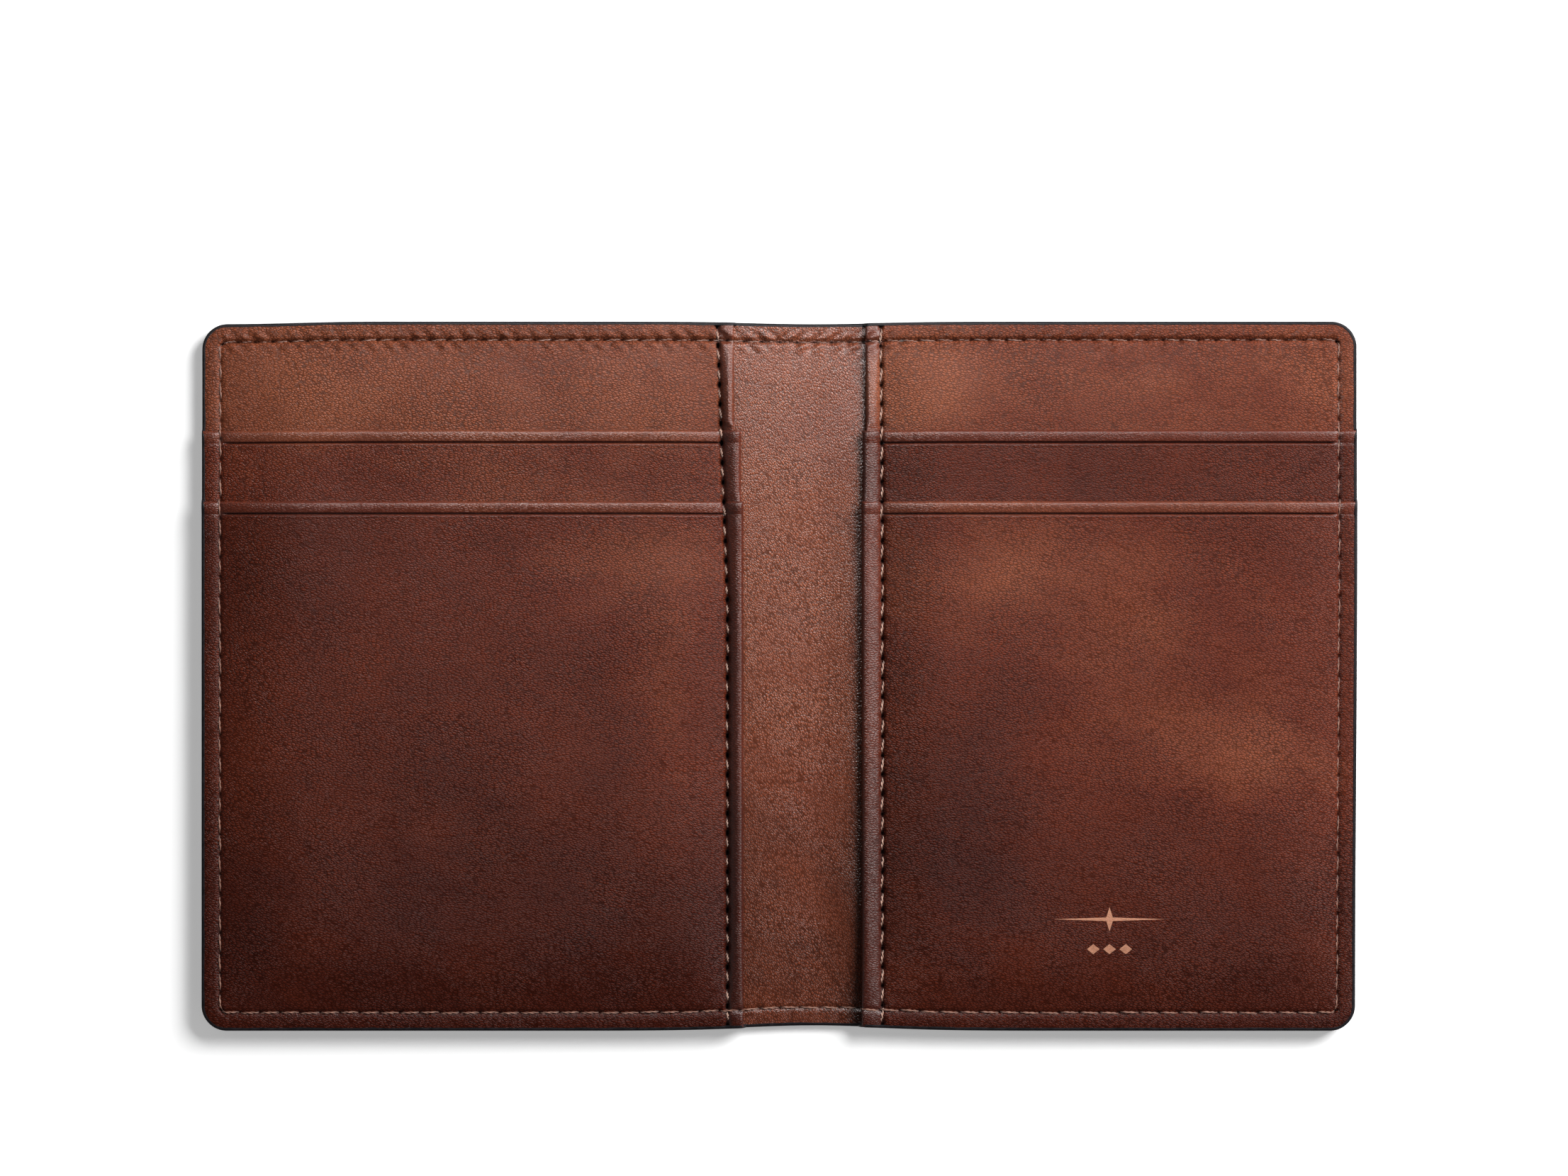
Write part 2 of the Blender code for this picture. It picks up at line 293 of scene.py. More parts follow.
# ---------------------------------------------------------------- seams
class Seam:
    """A straight run of stitches from one point of the pattern to another.

    The leather is drawn down by groove along the seam and folds up by pucker beside it. A needle
    hole is hole deep, and wide and slot are its half width and half length. Each stitch slants
    by slant to either side, lies lower by sunk, and its thread is thicker by the factor size.
    Dark and line say how much painted shade darkens the holes and the groove, from 0 to 1.
    """

    def __init__(
        self, start, end, pitch, groove=0.16, pucker=0.04, hole=0.5, slot=0.45, wide=0.26,
        slant=0.12, sunk=0.0, size=1.0, dark=1.0, line=0.0,
    ):
        self.start = np.array(start, float)
        run = np.array(end, float) - self.start
        self.length = float(np.hypot(*run))
        self.ahead = run / self.length
        self.count = max(1, round(self.length / pitch))
        self.pitch = self.length / self.count
        self.groove, self.pucker = groove, pucker
        self.hole, self.slot, self.wide = hole, slot, wide
        self.slant, self.sunk, self.size = slant, sunk, size
        self.dark, self.line = dark, line

    def local(self, u, y):
        """Distance across the seam, along it from its start, and along it from the nearest hole."""
        du, dy = u - self.start[0], y - self.start[1]
        across = du * self.ahead[1] - dy * self.ahead[0]
        along = du * self.ahead[0] + dy * self.ahead[1]
        to_needle = (along / self.pitch - np.round(along / self.pitch)) * self.pitch
        return across, along, to_needle

    def inside(self, along):
        return smooth(along / 0.6 + 1) * smooth((self.length - along) / 0.6 + 1)

    def relief(self, u, y):
        """Leather drawn down under the thread, puckered beside it and pierced at each needle."""
        across, along, to_needle = self.local(u, y)
        turn = math.tau * (along + 0.8 * across) / self.pitch
        ditch = -self.groove * bell(across / 0.5)
        uneven = 0.65 + 0.6 * waves(u, y, 8, 13, 4)
        folds = -self.pucker * uneven * np.cos(turn) * bell((np.abs(across) - 1.1) / 0.9)
        holes = -self.hole * bell(across / self.wide) * bell(to_needle / self.slot)
        return (ditch + folds + holes) * self.inside(along)

    def mark(self, u, y):
        """Painted shade in the needle holes and along the groove, from 0 to 1."""
        across, along, to_needle = self.local(u, y)
        reach = np.hypot(across / self.wide, to_needle / self.slot)
        line = self.line * bell(across / 0.22)
        return np.maximum(smooth((1.15 - reach) / 0.45) * self.dark, line) * self.inside(along)


def seams_of(side):
    """The seams of a half: three sides of its perimeter, and its inner seam in two runs."""
    far, top = HALF_W - SEAM_IN, HALF_H - SEAM_IN
    (inner_top, inner_low), bend = INNER_SEAM[side]
    if side == "left":
        inner = dict(hole=0.42, slot=0.74, wide=0.4, groove=0.26, size=1.35)
        sides = dict(groove=0.14, pucker=0.02, hole=0.2, dark=0.4, size=0.95, sunk=0.03)
    else:
        inner = dict(hole=0.42, slot=0.5, wide=0.38, groove=0.26, slant=0.24, line=0.7, size=1.25)
        sides = dict(groove=0.2, pucker=0.03, hole=0.25, dark=0.5, size=0.85, sunk=0.06)
    tops = dict(groove=0.32, pucker=0.17, hole=0.3, slant=0.2, sunk=0.15, size=0.85, dark=0.9, line=0.65)
    bottoms = dict(groove=0.16, pucker=0.03, hole=0.25, slant=0.08, dark=0.6, size=1.05)
    return {
        "top": Seam((0, top), (far, top), STITCH_TOP, **tops),
        "side": Seam((far, top), (far, -top), STITCH_LONG, **sides),
        "bottom": Seam((0, -top), (far, -top), STITCH_LONG, **bottoms),
        "inner_top": Seam((inner_top, HALF_H - 0.7), (inner_low, bend), STITCH_LONG, **inner),
        "inner_low": Seam((inner_low, bend), (inner_low, 0.7 - HALF_H), STITCH_LONG, **inner),
    }


SEAMS = {side: seams_of(side) for side in SIDES}
OUTER_SEAMS = ("top", "side", "bottom")
ALL_SEAMS = (*OUTER_SEAMS, "inner_top", "inner_low")


def seam_relief(u, y, side, names):
    return sum(SEAMS[side][name].relief(u, y) for name in names)


# ---------------------------------------------------------------- heights of the layers
def inset(u, y):
    """Distance from the nearest cut edge."""
    return np.minimum(HALF_W - u, HALF_H - np.abs(y))


def from_end_seam(y):
    """Distance from the nearer of the top and bottom seams."""
    return HALF_H - np.abs(y) - SEAM_IN


def inner_seam_u(y, side):
    (inner_top, inner_low), bend = INNER_SEAM[side]
    return inner_low + (inner_top - inner_low) * np.clip((y - bend) / (HALF_H - bend), 0, 1)


def rise(distance, reach=PILLOW):
    """From 0 at a seam to 1 out of its reach, steepest at the seam."""
    return 1 - (1 - np.clip(distance / reach, 0, 1)) ** 2


def ridge(u, y, side):
    """The roll between the inner seam and the free edge of whichever layer is uppermost."""
    edges = INNER[side]
    centre = edges[0] + (edges[1] - edges[0]) * smooth((MOUTH[1] + 1.8 - y) / 1.5)
    centre = centre + (edges[2] - edges[1]) * smooth((MOUTH[2] + 1.8 - y) / 1.5) + RIDGE_IN
    seam = inner_seam_u(y, side)
    inward = np.clip((u - centre) / (seam - centre), 0, 1)
    outward = np.clip((centre - u) / 1.6, 0, 1)
    return RIDGE * (1 - np.where(u > centre, inward**1.4, outward**2))


def layer_base(layer, u, y, side):
    """A layer's upper face, before its creases and stitches."""
    far = rise(HALF_W - u - SEAM_IN)
    ends = rise(from_end_seam(y))
    near = rise(u - inner_seam_u(y, side), PILLOW_IN)
    outer = far * ends
    z = LAYER_TOP[layer] - PRESSED[layer] * (1 - outer) - PINCHED[layer] * (1 - near) * outer
    z = z + BULGE[layer] * outer * near
    rim = np.clip(inset(u, y) / SEAM_IN, 0, 1)
    rounded = RIM_SWELL * np.sin(math.pi * rim) - RIM_ROUND * (1 - rim) ** 3
    z = z + np.where(inset(u, y) < SEAM_IN, rounded, 0)
    z = z + ridge(u, y, side) * (0.35 + 0.65 * ends)
    calm = smooth((inset(u, y) - 2) / 10) * smooth((u - inner_seam_u(y, side)) / 8)
    z = z + UNEVEN * waves(u, y, 11 + (side == "right"), 52, 17) * calm
    if MOUTH[layer]:
        z = z - SAG * smooth((MOUTH[layer] - y - CREASE_DOWN) / 9) * outer
    return z


def crease_share(u, y, side):
    """1 where a hem's crease runs, between the inner seam and the side seam, and 0 beyond them."""
    return smooth((u - inner_seam_u(y, side)) / 0.6) * smooth((HALF_W - SEAM_IN - 0.2 - u) / 1.6)


def layer_top(layer, u, y, side, stitched=True):
    """A layer's upper face with its hem, crease and stitches."""
    z = layer_base(layer, u, y, side)
    if MOUTH[layer]:
        below = MOUTH[layer] - y
        hem = np.sin(math.pi * np.clip(below / CREASE_DOWN, 0, 1) ** 0.6) ** 0.8
        z = z + HEM_SWELL * hem * (below > 0)
        line = below - CREASE_DOWN
        wall = np.where(line < 0, *CREASE_WALLS)
        crease = -CREASE_DEEP * bell(line / wall) + LIP_HIGH * bell((line - LIP_DOWN) / LIP_WIDE)
        z = z + crease * crease_share(u, y, side)
    if stitched:
        z = z + seam_relief(u, y, side, ALL_SEAMS)
    return z


def free_edge(layer, u, y, side):
    """0 at a turned edge, and 1 where the sheet has its full thickness."""
    f = np.sqrt(1 - (1 - np.clip((u - INNER[side][layer]) / ROLL, 0, 1)) ** 2)
    if MOUTH[layer]:
        f = f * np.sqrt(1 - (1 - np.clip((MOUTH[layer] - y) / ROLL, 0, 1)) ** 2)
    return f


def thickness(layer, u, y, side):
    """Double where the edge is turned under, and squeezed at the seams."""
    near = smooth((TURN_DEEP - (u - INNER[side][layer])) / 0.6)
    if MOUTH[layer]:
        near = np.maximum(near, smooth((TURN_DEEP - (MOUTH[layer] - y)) / 0.6))
    pressed = 1 - smooth((inset(u, y) - SEAM_IN) / 8)
    pinched = bell((u - inner_seam_u(y, side)) / 3)
    turned = TURNED - 0.04 - np.maximum(0.3 * pressed, 0.38 * pinched)
    return SHEET + (turned - SHEET) * near


def layer_faces(layer, side):
    """Functions for a layer's upper and lower faces, rolled over at its free edges."""

    def top(u, y):
        roll = (1 - free_edge(layer, u, y, side)) * thickness(layer, u, y, side) / 2
        return layer_top(layer, u, y, side) - roll

    def bottom(u, y):
        thick = thickness(layer, u, y, side)
        return layer_base(layer, u, y, side) - thick + (1 - free_edge(layer, u, y, side)) * thick / 2

    return top, bottom


def gutter_top(u, y, side, stitched=True):
    """The gutter lining: a shallow valley, gathered at its end seams, that rises to the right stack."""
    pressed = 1 - smooth(from_end_seam(y) / 9)
    x = WAY[side] * u
    z = LINING_TOP - 0.12 * pressed - 0.1 * bell((x - GUTTER_LOW_X) / 9)
    near_end = bell((from_end_seam(y) - 1) / 5)
    gathers = 0.05 * np.sin(x * 1.9 + 1.2 * np.sin(y * 0.35))
    z = z + gathers * near_end * bell((x - GUTTER_LOW_X) / 11)
    z = z + 0.05 * waves(x, y, 5, 34, 12)
    stack = INNER["right"][2]
    onset = smooth(from_end_seam(y) / 26)
    z = z + GUTTER_LIFT * smooth((x - stack + 9) / 8.5) * (1 - smooth((x - stack - 0.3) / 1.8)) * onset
    if stitched:
        z = z + seam_relief(u, y, side, OUTER_SEAMS)
    return z


def surface(u, y, side):
    """The topmost face anywhere on a half, without its stitches."""
    z = gutter_top(u, y, side, stitched=False)
    for layer in range(len(LAYERS)):
        here = u > INNER[side][layer]
        if MOUTH[layer]:
            here = here & (y < MOUTH[layer])
        z = np.where(here, layer_top(layer, u, y, side, stitched=False), z)
    return z


# ---------------------------------------------------------------- meshes
def new_object(name, points, quads, slot, material, attributes=None):
    """A mesh object of points in millimetres and four-cornered faces."""
    mesh = bpy.data.meshes.new(name)
    mesh.vertices.add(len(points))
    mesh.vertices.foreach_set("co", (points * MM).astype(np.float32).ravel())
    mesh.loops.add(len(quads) * 4)
    mesh.loops.foreach_set("vertex_index", quads.astype(np.int32).ravel())
    mesh.polygons.add(len(quads))
    mesh.polygons.foreach_set("loop_start", np.arange(0, len(quads) * 4, 4, dtype=np.int32))
    mesh.update(calc_edges=True)
    mesh.shade_smooth()
    mesh.set_sharp_from_angle(angle=math.radians(48))
    rest = mesh.attributes.new("rest", "FLOAT_VECTOR", "POINT")
    rest.data.foreach_set("vector", points.astype(np.float32).ravel())
    for key, values in (attributes or {}).items():
        layer = mesh.attributes.new(key, "FLOAT", "POINT")
        layer.data.foreach_set("value", values.astype(np.float32).ravel())
    mesh.materials.append(material)
    thing = bpy.data.objects.new(name, mesh)
    bpy.context.scene.collection.objects.link(thing)
    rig.slot(thing, slot)
    return thing


def grid_quads(rows, columns, first=0, turn=False):
    i = first + np.arange(rows - 1)[:, None] * columns + np.arange(columns - 1)[None, :]
    corners = [i, i + 1, i + columns + 1, i + columns]
    return np.stack(corners[::-1] if turn else corners, -1).reshape(-1, 4)


def ring_cap(ring):
    """Faces that close rings of an even number of points, given along the last axis."""
    count = ring.shape[-1]
    caps = [
        np.stack([ring[..., k], ring[..., k + 1], ring[..., count - 2 - k], ring[..., count - 1 - k]], -1)
        for k in range(count // 2 - 1)
    ]
    return np.concatenate([cap.reshape(-1, 4) for cap in caps])


def slab(name, us, ys, side, top, bottom, slot, material, attributes=None):
    """A closed sheet between two height fields, over a grid of the pattern."""
    u, y = np.meshgrid(us, ys)
    x, yy = place(u, y, WAY[side])
    upper = np.stack([x, yy, top(u, y)], -1).reshape(-1, 3)
    lower = np.stack([x, yy, bottom(u, y)], -1).reshape(-1, 3)
    rows, columns = u.shape
    count = rows * columns
    index = np.arange(count).reshape(rows, columns)
    loop = np.concatenate([index[0, :-1], index[:-1, -1], index[-1, :0:-1], index[:0:-1, 0]])
    after = np.roll(loop, -1)
    rim = np.stack([loop, loop + count, after + count, after], -1)
    if side == "left":
        rim = rim[:, ::-1]
    upper_quads = grid_quads(rows, columns, turn=side == "left")
    lower_quads = grid_quads(rows, columns, count, side == "right")
    quads = np.concatenate([upper_quads, lower_quads, rim])
    values = {key: np.tile(f(u, y).reshape(-1), 2) for key, f in (attributes or {}).items()}
    return new_object(name, np.concatenate([upper, lower]), quads, slot, material, values)


def lines(start, end, step, fine=(), rolled=()):
    """Grid lines from start to end, closer near the fine places and at rolled ends."""
    roll = [ROLL * (1 - math.cos(math.pi / 2 * i / 7)) for i in range(8)]
    first = [start + r for r in roll] if "start" in rolled else [start]
    last = [end - r for r in reversed(roll)] if "end" in rolled else [end]
    inside, at = [], first[-1]
    while True:
        here = min([step] + [s + 0.35 * max(0.0, abs(at - c) - w) for c, w, s in fine])
        at += here
        if at > last[0] - here / 2:
            break
        inside.append(at)
    return np.array(first + inside + last)


def seam_fine(side):
    """Where grid lines gather: across the seams that run up the page, and along the page."""
    (inner_top, inner_low), _ = INNER_SEAM[side]
    across = [((inner_top + inner_low) / 2, 1.6, 0.2), (HALF_W - SEAM_IN, 0.8, 0.16)]
    along = [(HALF_H - SEAM_IN, 0.8, 0.16), (SEAM_IN - HALF_H, 0.8, 0.16)]
    return across, along


# ---------------------------------------------------------------- materials
class Nodes:
    """Adds nodes to a material by short calls, left to right."""

    def __init__(self, name):
        self.material = bpy.data.materials.new(name)
        self.material.use_nodes = True
        self.tree = self.material.node_tree
        self.shader = self.tree.nodes["Principled BSDF"]

    def wire(self, value, socket):
        if isinstance(value, bpy.types.NodeSocket):
            self.tree.links.new(value, socket)
        else:
            socket.default_value = value

    def add(self, kind, inputs=None, out=0, **settings):
        node = self.tree.nodes.new(kind)
        for key, value in settings.items():
            setattr(node, key, value)
        for key, value in (inputs or {}).items():
            self.wire(value, node.inputs[key])
        return node.outputs[out]

    def attribute(self, name, out="Fac"):
        return self.add("ShaderNodeAttribute", out=out, attribute_name=name)

    def math(self, operation, a, b=0.0, clamp=False):
        return self.add("ShaderNodeMath", {0: a, 1: b}, operation=operation, use_clamp=clamp)

    def noise(self, vector, scale, detail=2.0, rough=0.5, out="Fac"):
        inputs = {"Vector": vector, "Scale": scale, "Detail": detail, "Roughness": rough}
        return self.add("ShaderNodeTexNoise", inputs, out)

    def cells(self, vector, scale, feature="DISTANCE_TO_EDGE"):
        return self.add("ShaderNodeTexVoronoi", {"Vector": vector, "Scale": scale}, feature=feature)

    def remap(self, value, low, high, to_low=0.0, to_high=1.0, kind="SMOOTHSTEP"):
        inputs = {"Value": value, "From Min": low, "From Max": high, "To Min": to_low, "To Max": to_high}
        return self.add("ShaderNodeMapRange", inputs, interpolation_type=kind)

    def mix(self, factor, a, b, blend="MIX"):
        node = self.tree.nodes.new("ShaderNodeMix")
        node.data_type, node.blend_type = "RGBA", blend
        for value, socket in ((factor, node.inputs[0]), (a, node.inputs[6]), (b, node.inputs[7])):
            self.wire(value, socket)
        return node.outputs[2]

    def stretch(self, vector, size, turn=0.0):
        """Coordinates in cells of the given size, turned anticlockwise."""
        inputs = {"Vector": vector, "Scale": size, "Rotation": (0, 0, turn)}
        return self.add("ShaderNodeMapping", inputs, vector_type="TEXTURE")

    def bump(self, height, distance):
        return self.add("ShaderNodeBump", {"Height": height, "Distance": distance, "Strength": 1.0})

    def finish(self, **inputs):
        for key, value in inputs.items():
            self.wire(value, self.shader.inputs[key.replace("_", " ")])
        return self.material


def leather_grain(n, rest, cell, turn):
    """Height of the wrinkles between grains: plates, each a little domed, with finer wrinkles on them."""
    wander = n.noise(rest, 0.09, 2.0, 0.6, "Color")
    drift = n.add("ShaderNodeVectorMath", {0: wander, "Scale": 1.2}, operation="SCALE")
    warped = n.add("ShaderNodeVectorMath", {0: rest, 1: drift}, operation="ADD")
    flow = n.stretch(warped, (*cell, 1), turn)
    plate = n.remap(n.cells(flow, 1.0), 0.0, 0.24)
    dome = n.remap(n.cells(flow, 1.0, "F1"), 0.0, 0.8, 1.0, 0.0, "LINEAR")
    wrinkle = n.noise(flow, 1.4, 3.0, 0.6)
    height = n.math("ADD", n.math("MULTIPLY", plate, 0.45), n.math("MULTIPLY", dome, 0.4))
    return n.math("ADD", height, n.math("MULTIPLY", wrinkle, 0.7))


def leather_blotch(n, rest):
    """Uneven dye: round clouds and slanting streaks."""
    cloud = n.noise(rest, 0.045, 4.0, 0.6)
    streak = n.noise(n.stretch(rest, (16, 6, 10), -0.3), 1.0, 3.0, 0.6)
    return n.math("ADD", n.math("MULTIPLY", cloud, 0.6), n.math("MULTIPLY", streak, 0.4))


def leather(name, dark, mid, light, cell=(0.74, 0.36), turn=-0.24, depth=0.066, rough=0.32, shine=0.078):
    """Dyed, lightly polished calf, wrinkled into grains of about the given length and width in mm.

    It reads four attributes of the mesh: rest, the place in mm; tone, lighter or darker dye, with
    painted highlights and shade mixed in; hole, the painted shade of a needle hole, a seam's groove
    or a crease; and smooth, where it has been rubbed flat.
    """
    n = Nodes(name)
    rest = n.attribute("rest", "Vector")
    smoothed, hole = n.attribute("smooth"), n.attribute("hole")
    height = leather_grain(n, rest, cell, turn)
    patchy = n.remap(n.noise(rest, 0.07, 2.0), 0.35, 0.65, 0.85, 1.1)
    plain = n.math("MULTIPLY", n.remap(smoothed, 0.0, 1.0, 1.0, 0.6, "LINEAR"), patchy)
    normal = n.bump(n.math("MULTIPLY", height, plain), depth * MM)

    blotch = leather_blotch(n, rest)
    tone = n.math("ADD", n.remap(blotch, 0.3, 0.7, 0.32, 0.68, "LINEAR"), n.attribute("tone"), clamp=True)
    colour = n.mix(n.remap(tone, 0.0, 0.5, kind="LINEAR"), dark, mid)
    colour = n.mix(n.remap(tone, 0.5, 1.0, kind="LINEAR"), colour, light)
    # The grain's tops are lighter, partly worn dye and partly painted highlight; its valleys are darker, painted
    # shade.
    worn_tops_and_painted_grain_shade = n.remap(height, 0.5, 1.25, -0.52, 0.52, "LINEAR")
    shade = n.math("ADD", 1.0, n.math("MULTIPLY", worn_tops_and_painted_grain_shade, plain))
    grey = n.add("ShaderNodeCombineColor", {0: shade, 1: shade, 2: shade})
    # Where hole is set the colour turns near black: painted shade in needle holes, seam grooves and creases.
    colour = n.mix(hole, n.mix(1.0, colour, grey, "MULTIPLY"), (0.002, 0.001, 0.001, 1))

    gloss = n.remap(blotch, 0.35, 0.65, rough + 0.03, rough - 0.03)
    gloss = n.math("ADD", gloss, n.math("MULTIPLY", hole, 0.5))
    polish = n.remap(smoothed, 0.0, 1.0, shine, shine * 3.4, "LINEAR")
    level = n.math("MULTIPLY", n.math("SUBTRACT", 1.0, hole), polish)
    return n.finish(Base_Color=colour, Roughness=gloss, Normal=normal, Specular_IOR_Level=level)


def thread_material(name, colour, shade):
    """Twisted waxed thread, with painted shade where it dips into a needle hole."""
    n = Nodes(name)
    rest = n.attribute("rest", "Vector")
    fibre = n.noise(rest, 14.0, 2.0, 0.7)
    worn = n.noise(rest, 0.5, 2.0)
    tint = n.mix(n.remap(worn, 0.35, 0.65), colour, shade)
    tint = n.mix(n.remap(fibre, 0.3, 0.8), tint, (*[c * 0.6 for c in colour[:3]], 1))
    tint = n.mix(n.attribute("painted_thread_shade"), tint, (0.03, 0.012, 0.008, 1))
    return n.finish(Base_Color=tint, Roughness=0.55, Normal=n.bump(fibre, 0.02 * MM))


def paint_material():
    n = Nodes("edge_paint")
    rest = n.attribute("rest", "Vector")
    ripple = n.noise(rest, 0.9, 3.0, 0.6)
    tint = n.mix(n.remap(ripple, 0.3, 0.7), (0.003, 0.003, 0.004, 1), (0.008, 0.006, 0.008, 1))
    gloss = n.remap(ripple, 0.2, 0.8, 0.4, 0.6)
    normal = n.bump(ripple, 0.03 * MM)
    return n.finish(Base_Color=tint, Roughness=gloss, Specular_IOR_Level=0.12, Normal=normal)


def foil_material():
    n = Nodes("rose_gold_foil")
    rest = n.attribute("rest", "Vector")
    worn = n.noise(rest, 3.2, 4.0, 0.7)
    tint = n.mix(n.remap(worn, 0.35, 0.75), (0.62, 0.3, 0.19, 1), (0.4, 0.17, 0.1, 1))
    metal = n.remap(worn, 0.66, 0.74, 0.85, 0.3)
    normal = n.bump(n.noise(rest, 5.0, 3.0), 0.04 * MM)
    return n.finish(Base_Color=tint, Metallic=metal, Roughness=0.42, Normal=normal)


def fabric_material(name, colour):
    """A plain weave, for the lining inside the pockets."""
    n = Nodes(name)
    place_here = n.add("ShaderNodeTexCoord", out="Object")
    yarn = {"Vector": place_here, "Scale": 700.0, "Distortion": 0.6}
    warp = n.add("ShaderNodeTexWave", yarn, bands_direction="X")
    weft = n.add("ShaderNodeTexWave", yarn, bands_direction="Y")
    weave = n.math("MAXIMUM", warp, weft)
    slub = n.noise(place_here, 900.0, 2.0)
    tint = n.mix(weave, (*[c * 0.4 for c in colour], 1), (*colour, 1))
    tint = n.mix(n.remap(slub, 0.4, 0.8, 0.0, 0.4), tint, (*[c * 1.6 for c in colour], 1))
    return n.finish(Base_Color=tint, Roughness=0.85, Sheen_Weight=0.3, Normal=n.bump(weave, 0.06 * MM))


def board_material():
    n = Nodes("fibre_board")
    place_here = n.add("ShaderNodeTexCoord", out="Object")
    fibre = n.noise(n.stretch(place_here, (3, 1, 1)), 2700.0, 5.0, 0.7)
    tint = n.mix(fibre, (0.2, 0.15, 0.1, 1), (0.42, 0.36, 0.28, 1))
    return n.finish(Base_Color=tint, Roughness=0.85, Normal=n.bump(fibre, 0.05 * MM))


POCKET_LEATHER = leather(
    "pocket_leather",
    dark=(0.045, 0.0074, 0.0036, 1),
    mid=(0.099, 0.0182, 0.0078, 1),
    light=(0.200, 0.0560, 0.0250, 1),
)
GUTTER_LEATHER = leather(
    "gutter_leather",
    dark=(0.066, 0.0150, 0.0072, 1),
    mid=(0.162, 0.0400, 0.0188, 1),
    light=(0.255, 0.0760, 0.0365, 1),
    cell=(0.38, 0.62),
    turn=0.5,
    depth=0.055,
    rough=0.24,
    shine=0.21,
)
COVER_LEATHER = leather(
    "cover_leather",
    dark=(0.040, 0.0072, 0.0038, 1),
    mid=(0.090, 0.0185, 0.0088, 1),
    light=(0.165, 0.0450, 0.0205, 1),
    turn=0.3,
)
PALE_THREAD = thread_material("pale_thread", (0.46, 0.27, 0.20, 1), (0.32, 0.165, 0.115, 1))
BROWN_THREAD = thread_material("brown_thread", (0.30, 0.145, 0.10, 1), (0.185, 0.075, 0.048, 1))
EDGE_PAINT = paint_material()
FOIL = foil_material()
LINING_CLOTH = fabric_material("lining_cloth", (0.055, 0.03, 0.022))
BOARD = board_material()


# ---------------------------------------------------------------- pieces
def fold_blend(piece, side):
    """Bends a piece over its half's fold line, from the spine to the half."""
    x = WAY[side] * FOLD_U
    start, end = ((edge * MM, 0, FOLD_Z * MM) for edge in (x - BAND, x + BAND))
    bodies = ("left_half", "spine") if side == "left" else ("spine", "right_half")
    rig.blend(piece, *bodies, start, end)


def painted_hole_and_crease_shade(side, names, layer=0):
    """Painted shade in the needle holes, and in the crease below a pocket's hem."""

    def mark(u, y):
        holes = sum(SEAMS[side][name].mark(u, y) for name in names)
        if MOUTH[layer]:
            line = MOUTH[layer] - y - CREASE_DOWN
            holes = holes + 0.6 * bell(line / 0.16) * crease_share(u, y, side)
        return np.clip(holes, 0, 1)

    return mark


# where the tone is lighter or darker: u, y, half width, half height, amount. Most patches are the
# leather's own mottle; the bright ones beside the left inner seam and at the top beside the right
# inner seam are painted sheen, and the dark one beside the right inner seam is partly painted shade
TONE_AND_PAINTED_LIGHT_PATCHES = {
    "left": (
        (92, 56, 20, 10, 0.2),
        (97, 22, 14, 14, -0.14),
        (56, 21, 14, 9, 0.12),
        (80, 4, 10, 6, 0.12),
        (68, -14, 22, 14, -0.12),
        (27, 24, 15, 9, 0.36),
        (22, -6, 9, 26, 0.26),
    ),
    "right": (
        (26, 58, 10, 8, 0.6),
        (52, 21, 30, 8, 0.12),
        (88, -16, 16, 10, 0.3),
        (44, 18, 16, 10, 0.22),
        (69, 5, 14, 8, 0.14),
        (110, -18, 6, 26, 0.2),
        (34, -22, 15, 26, -0.42),
        (97, 22, 12, 7, -0.08),
        (70, -40, 26, 12, -0.08),
    ),
}
# and how much lighter each layer is than its leather's middle tone
LAYER_TONE = {"left": (0.32, 0.05, -0.13), "right": (0.2, -0.17, 0.02)}


def dye_and_painted_light(layer, side):
    """Lighter or darker than the sheet's own mottle: in patches, near cut edges and low down. The darkening low down
    and on the inner margin is painted shade; the lighter hem band is a painted highlight.
    """

    def tone(u, y):
        edge = np.exp(-np.clip(inset(u, y) - 1, 0, None) / 6) * smooth((60 - y) / 30)
        total = LAYER_TONE[side][layer] - 0.2 * edge
        for cu, cy, wide, tall, amount in TONE_AND_PAINTED_LIGHT_PATCHES[side]:
            total = total + amount * bell(np.hypot((u - cu) / wide, (y - cy) / tall))
        margin = smooth((inner_seam_u(y, side) - u) / 0.8 + 0.5)
        # The hem band is made lighter: a painted highlight on its roll.
        if MOUTH[layer]:
            total = total + 0.16 * smooth((CREASE_DOWN - MOUTH[layer] + y) / 0.6) * (1 - margin)
        # Painted shade: darker on the inner margin, and darker low down.
        return total - 0.16 * margin - 0.3 * smooth((-8 - y) / 46)

    return tone


def burnished(layer, side):
    """1 where a turned edge has been rubbed smooth, and along the inner margin."""

    def share(u, y):
        total = smooth((inner_seam_u(y, side) - u) / 0.8 + 0.6)
        if MOUTH[layer]:
            total = np.maximum(total, smooth((CREASE_DOWN + 0.9 - (MOUTH[layer] - y)) / 0.8))
        return total

    return share


